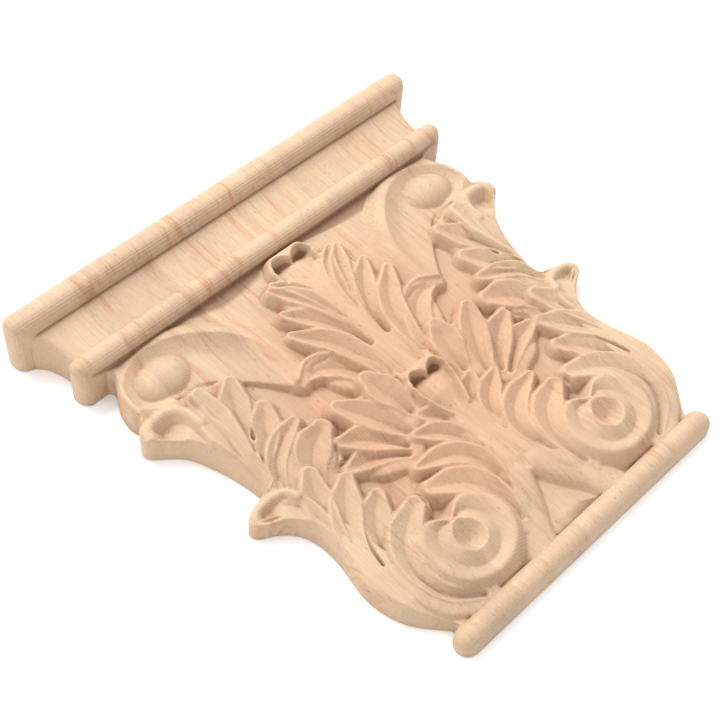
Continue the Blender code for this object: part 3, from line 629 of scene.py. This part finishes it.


# How far each place lies below its surroundings, near and far, for the painted shade in the hollows and the
# painted highlight on the ridges
def markHollows(mesh):
    step, margin = wood["hollowGrid"], wood["hollowMargin"]
    alongX = np.arange(0, halfX + margin, step)
    alongY = np.arange(-halfY - margin, halfY + margin, step)
    gridX, gridY = np.meshgrid(alongX, alongY)
    inside = (gridX <= edgeOf(gridY)) & (np.abs(gridY) <= halfY)
    level = np.where(inside, relief(np.minimum(gridX, edgeOf(gridY)), np.clip(gridY, -halfY, halfY)), 0)
    solid = inside.astype(float)

    spots = np.empty(len(mesh.vertices) * 3, dtype=np.float32)
    mesh.vertices.foreach_get("co", spots)
    spots = spots.reshape(-1, 3)
    col = np.clip(np.abs(spots[:, 0]) / step, 0, len(alongX) - 2)
    row = np.clip((spots[:, 1] - alongY[0]) / step, 0, len(alongY) - 2)
    col0, row0 = col.astype(int), row.astype(int)
    right, upper = col - col0, row - row0

    # Each blur gives a depth below the surroundings, which the wood turns into painted shade
    for name in ("narrow", "wide"):
        reach = round(3 * wood[name] / step)
        offsets = np.arange(-reach, reach + 1) * step
        kernel = np.exp(-(offsets / wood[name]) ** 2 / 2)
        blurred = []
        for picture in (level * solid, solid):
            whole = np.hstack([picture[:, :0:-1], picture])
            whole = np.apply_along_axis(np.convolve, 1, whole, kernel, "same")
            whole = np.apply_along_axis(np.convolve, 0, whole, kernel, "same")
            blurred.append(whole[:, picture.shape[1] - 1:])
        around = blurred[0] / np.maximum(blurred[1], 1e-6)
        read = ((around[row0, col0] * (1 - right) + around[row0, col0 + 1] * right) * (1 - upper)
                + (around[row0 + 1, col0] * (1 - right) + around[row0 + 1, col0 + 1] * right) * upper)
        below = (read - spots[:, 2]) * 1000
        inward = np.minimum(edgeOf(spots[:, 1]) - np.abs(spots[:, 0]), halfY - np.abs(spots[:, 1]))
        below *= np.clip(inward / 0.004 - 0.1, 0, 1)
        if name == "wide":
            below *= np.clip((abacusFoot - spots[:, 1]) / 0.003 + 1, 0.2, 1)
        layer = mesh.attributes.new(name, "FLOAT", "POINT")
        layer.data.foreach_set("value", below.astype(np.float32))


def addNode(tree, kind, settings=None, **inputs):
    node = tree.nodes.new(kind)
    for name, value in (settings or {}).items():
        setattr(node, name, value)
    for name, value in inputs.items():
        socket = node.inputs[int(name[1:])] if name[0] == "i" and name[1:].isdigit() else node.inputs[name]
        if isinstance(value, bpy.types.NodeSocket):
            tree.links.new(value, socket)
        else:
            socket.default_value = value
    return node


def makeWood():
    material = bpy.data.materials.new("paleWood")
    material.use_nodes = True
    tree = material.node_tree
    shader = tree.nodes["Principled BSDF"]

    def sums(operation, first, second=0.0, third=0.0):
        node = addNode(tree, "ShaderNodeMath", {"operation": operation}, i0=first, i1=second, i2=third)
        return node.outputs[0]

    def ramp(value, low, high, bottom=0.0, top=1.0):
        return addNode(tree, "ShaderNodeMapRange", {"interpolation_type": "SMOOTHSTEP"},
                       i0=value, i1=low, i2=high, i3=bottom, i4=top).outputs[0]

    def blend(share, first, second):
        node = addNode(tree, "ShaderNodeMix", {"data_type": "RGBA"})
        for socket, value in zip((node.inputs[0], node.inputs[6], node.inputs[7]), (share, first, second)):
            if isinstance(value, bpy.types.NodeSocket):
                tree.links.new(value, socket)
            else:
                socket.default_value = value
        return node.outputs[2]

    def stretched(scale, detail, roughness=0.5, distortion=0.0):
        placed = addNode(tree, "ShaderNodeMapping", None, Vector=coords, Scale=scale).outputs[0]
        return addNode(tree, "ShaderNodeTexNoise", None, Vector=placed, Scale=1.0, Detail=detail,
                       Roughness=roughness, Distortion=distortion).outputs[0]

    coords = addNode(tree, "ShaderNodeTexCoord").outputs["Object"]
    parts = addNode(tree, "ShaderNodeSeparateXYZ", None, Vector=coords)
    x, y, z = parts.outputs

    # Staves glued side by side, each a little lighter or redder than the next
    stave = sums("FLOOR", sums("DIVIDE", sums("ADD", x, 0.2 + 0.009), wood["staveWidth"]))
    tone = addNode(tree, "ShaderNodeTexWhiteNoise", {"noise_dimensions": "1D"}, W=stave).outputs[0]
    shifted = addNode(tree, "ShaderNodeCombineXYZ", None, X=sums("MULTIPLY", tone, 7.0)).outputs[0]
    coords = addNode(tree, "ShaderNodeVectorMath", {"operation": "ADD"}, i0=coords, i1=shifted).outputs[0]

    # The pinker, carved middle
    offX = sums("DIVIDE", x, wood["pinkReach"][0])
    offY = sums("DIVIDE", sums("ADD", y, -wood["pinkAt"]), wood["pinkReach"][1])
    away = sums("SQRT", sums("ADD", sums("MULTIPLY", offX, offX), sums("MULTIPLY", offY, offY)))
    cloud = stretched(wood["cloudScale"], 3.0)
    middle = ramp(sums("ADD", away, sums("MULTIPLY", sums("SUBTRACT", cloud, 0.5), 0.9)), 1.15, 0.45)
    colour = blend(middle, (*wood["cream"], 1), (*wood["pink"], 1))

    # Figure: long reddish streaks and rings along the grain
    rings = stretched(wood["ringScale"], 4.0, 0.62, 1.4)
    streaks = ramp(rings, 0.46, 0.66)
    patches = ramp(stretched(wood["patchScale"], 3.0, 0.6), 0.42, 0.57)
    colour = blend(sums("MULTIPLY", sums("MULTIPLY", streaks, patches), 0.85), colour, (*wood["streak"], 1))
    fibres = stretched(wood["fibreScale"], 3.0, 0.65)
    grain = sums("ADD", sums("MULTIPLY", sums("SUBTRACT", fibres, 0.5), 0.42),
                 sums("MULTIPLY", sums("SUBTRACT", tone, 0.5), wood["staveTone"]))
    broad = sums("MULTIPLY", sums("SUBTRACT", stretched(wood["broadScale"], 4.0, 0.6, 0.8), 0.5), 0.30)
    level = sums("ADD", sums("ADD", grain, broad), 1.0)

    # Pores: short dark dashes along the grain
    perCell = tuple(1 / size for size in wood["poreCell"])
    placed = addNode(tree, "ShaderNodeMapping", None, Vector=coords, Scale=perCell).outputs[0]
    pores = addNode(tree, "ShaderNodeTexVoronoi", None, Vector=placed, Scale=1.0)
    picked = addNode(tree, "ShaderNodeSeparateColor", None, Color=pores.outputs["Color"]).outputs[0]
    dash = sums("MULTIPLY", ramp(pores.outputs["Distance"], wood["poreSize"] * 1.3, wood["poreSize"] * 0.6),
                ramp(picked, 1 - wood["poreShare"], 1.0))
    dash = sums("MULTIPLY", dash, ramp(stretched(wood["poreGroupScale"], 2.0), 0.38, 0.62))
    level = sums("SUBTRACT", level, sums("MULTIPLY", dash, wood["poreDepth"]))

    # Painted shade in the cuts: the further a place lies below its surroundings, the browner and darker it is
    # painted
    narrow = addNode(tree, "ShaderNodeAttribute", {"attribute_name": "narrow"}).outputs["Fac"]
    wide = addNode(tree, "ShaderNodeAttribute", {"attribute_name": "wide"}).outputs["Fac"]
    creviceShade = sums("MAXIMUM", ramp(narrow, *wood["narrowShade"]), ramp(wide, *wood["wideShade"]))
    colour = blend(creviceShade, colour, (*wood["shadeBrown"], 1))
    # Painted highlight: places that stand above their near surroundings are made a little lighter
    level = sums("ADD", level, ramp(narrow, -0.1, -0.6, 0.0, 0.06))

    shade = addNode(tree, "ShaderNodeVectorMath", {"operation": "SCALE"}, i0=colour, Scale=level).outputs[0]
    tree.links.new(shade, shader.inputs["Base Color"])
    shader.inputs["Roughness"].default_value = wood["roughness"]
    shader.inputs["Specular IOR Level"].default_value = wood["specular"]

    # Cutter lines: along X on the mouldings, level on the upright sides
    normal = addNode(tree, "ShaderNodeNewGeometry").outputs["Normal"]
    facing = addNode(tree, "ShaderNodeSeparateXYZ", None, Vector=normal).outputs[2]
    upright = ramp(facing, 0.55, 0.2)
    turn = 2 * math.pi / wood["toolPitch"]
    layers = sums("MULTIPLY", sums("SINE", sums("MULTIPLY", z, turn)), upright)
    moulded = ramp(y, abacusFoot - 0.0006, abacusFoot + 0.0004, 0.6, 1.0)
    passes = sums("MULTIPLY", sums("MULTIPLY", sums("SINE", sums("MULTIPLY", y, turn)), moulded),
                  ramp(facing, 0.99, 0.8))
    lines = sums("MULTIPLY", sums("ADD", layers, passes), wood["toolDepth"])
    height = sums("SUBTRACT", sums("ADD", lines, sums("MULTIPLY", fibres, 0.00003)),
                  sums("MULTIPLY", dash, wood["poreBump"]))
    bump = addNode(tree, "ShaderNodeBump", None, Height=height, Strength=0.8, Distance=1.0)
    tree.links.new(bump.outputs[0], shader.inputs["Normal"])
    return material


capital = makeCapital()
markHollows(capital.data)
capital.data.materials.clear()
capital.data.materials.append(makeWood())
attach(capital, "root")
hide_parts("carved_capital")
print("wood finished")


# Floor, light and camera

room = {
    "floorSize": 3.0,
    "floorColour": (0.95, 0.95, 0.95),
    "skyStrength": 1.38,
    "skySide": (-0.05, 0.38, 0.0),      # the side of the room that is brighter, and by how much
    "keyPlace": (0.10, 0.70, 0.95),
    "keySize": 0.60,
    "keyPower": 12,
}

view = {
    "turn": -49.95,          # degrees round from the foot side
    "height": 52.11,         # degrees above the board
    "roll": 5.82,
    "distance": 0.5324,
    "target": (-0.0052, 0.0106, 0.0),
    "lens": 71.14,
}


def makeRoom():
    form = bmesh.new()
    bmesh.ops.create_grid(form, x_segments=1, y_segments=1, size=room["floorSize"] / 2)
    bmesh.ops.translate(form, verts=form.verts, vec=(0, 0, cadLow[2] - 0.0002))
    mesh = bpy.data.meshes.new("floor")
    form.to_mesh(mesh)
    form.free()
    floor = bpy.data.objects.new("floor", mesh)
    bpy.context.scene.collection.objects.link(floor)
    cover = bpy.data.materials.new("floorPaper")
    cover.use_nodes = True
    shader = cover.node_tree.nodes["Principled BSDF"]
    shader.inputs["Base Color"].default_value = (*room["floorColour"], 1)
    shader.inputs["Roughness"].default_value = 0.9
    mesh.materials.append(cover)

    world = bpy.data.worlds.new("softSky")
    world.use_nodes = True
    tree = world.node_tree
    sky = tree.nodes["Background"]
    sky.inputs["Color"].default_value = (1, 1, 1, 1)
    direction = addNode(tree, "ShaderNodeTexCoord").outputs["Generated"]
    lean = addNode(tree, "ShaderNodeVectorMath", {"operation": "DOT_PRODUCT"},
                   i0=direction, i1=room["skySide"])
    bright = addNode(tree, "ShaderNodeMath", {"operation": "MULTIPLY_ADD"}, i0=lean.outputs["Value"],
                     i1=room["skyStrength"], i2=room["skyStrength"])
    tree.links.new(bright.outputs[0], sky.inputs["Strength"])
    bpy.context.scene.world = world

    bpy.context.scene.view_settings.view_transform = "Standard"

    lamp = bpy.data.lights.new("key", "AREA")
    lamp.size = room["keySize"]
    lamp.energy = room["keyPower"]
    key = bpy.data.objects.new("key", lamp)
    key.location = room["keyPlace"]
    key.rotation_euler = Vector(room["keyPlace"]).to_track_quat("Z", "Y").to_euler()
    bpy.context.scene.collection.objects.link(key)


def makeCamera():
    turn, height = math.radians(view["turn"]), math.radians(view["height"])
    back = Vector((math.sin(turn) * math.cos(height), -math.cos(turn) * math.cos(height), math.sin(height)))
    right = Vector((0, 0, 1)).cross(back).normalized()
    up = back.cross(right)
    lens = bpy.data.cameras.new("photoView")
    lens.lens = view["lens"]
    lens.sensor_width = 36
    camera = bpy.data.objects.new("photoView", lens)
    aim = Matrix((right, up, back)).transposed().to_4x4()
    camera.matrix_world = (Matrix.Translation(Vector(view["target"]) + back * view["distance"])
                           @ aim @ Matrix.Rotation(math.radians(view["roll"]), 4, "Z"))
    bpy.context.scene.collection.objects.link(camera)
    bpy.context.scene.camera = camera


makeRoom()
makeCamera()
print("room lit")
